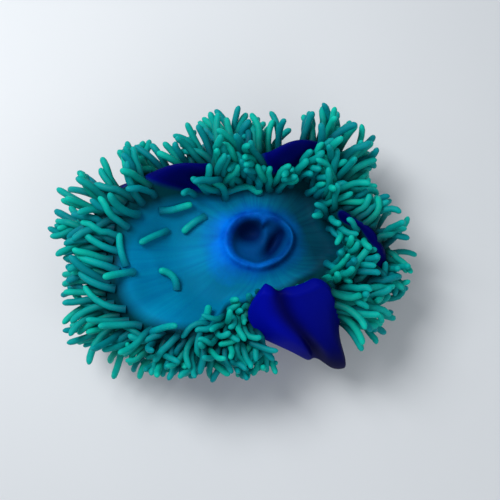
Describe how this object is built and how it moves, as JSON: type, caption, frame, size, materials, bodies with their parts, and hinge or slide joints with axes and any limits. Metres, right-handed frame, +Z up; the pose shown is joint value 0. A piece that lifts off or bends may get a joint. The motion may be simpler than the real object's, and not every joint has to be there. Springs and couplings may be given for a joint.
{
  "type": "sea anemone",
  "caption": "Life-size still model of a live sea anemone: folded oval disc of blunt finger tentacles round a raised mouth, on a short waisted column and flat foot.",
  "frame": {"origin": "on the sole of the foot, at the floor, below the middle of the disc", "axes": "+Z up from the sole; +X along the longest way across the disc, towards the folded end; +Y across it, away from the large folded-up flap"},
  "size_m": [0.2706, 0.2181, 0.0941],
  "materials": {
    "column_flesh": "smooth wet deep blue flesh",
    "disc_flesh": "smooth wet blue-green flesh with faint radial streaks",
    "tentacle_flesh": "glossy wet sea-green flesh, paler at the tips",
    "lip_flesh": "folded wet blue flesh"
  },
  "bodies": {
    "root": {"foot": "column_flesh", "column": "column_flesh", "oral_disc": "disc_flesh", "lips": "lip_flesh", "throat": "lip_flesh", "border_lobe_01": "tentacle_flesh", "border_lobe_02": "tentacle_flesh", "border_lobe_03": "tentacle_flesh", "border_lobe_04": "tentacle_flesh", "border_lobe_05": "tentacle_flesh", "border_lobe_06": "tentacle_flesh", "border_lobe_07": "tentacle_flesh", "border_lobe_08": "tentacle_flesh", "border_lobe_09": "tentacle_flesh", "border_lobe_10": "tentacle_flesh", "border_lobe_11": "tentacle_flesh", "border_lobe_12": "tentacle_flesh", "border_lobe_13": "tentacle_flesh", "border_lobe_14": "tentacle_flesh", "border_lobe_15": "tentacle_flesh", "border_lobe_16": "tentacle_flesh", "border_lobe_17": "tentacle_flesh", "border_lobe_18": "tentacle_flesh"}
  },
  "joints": []
}
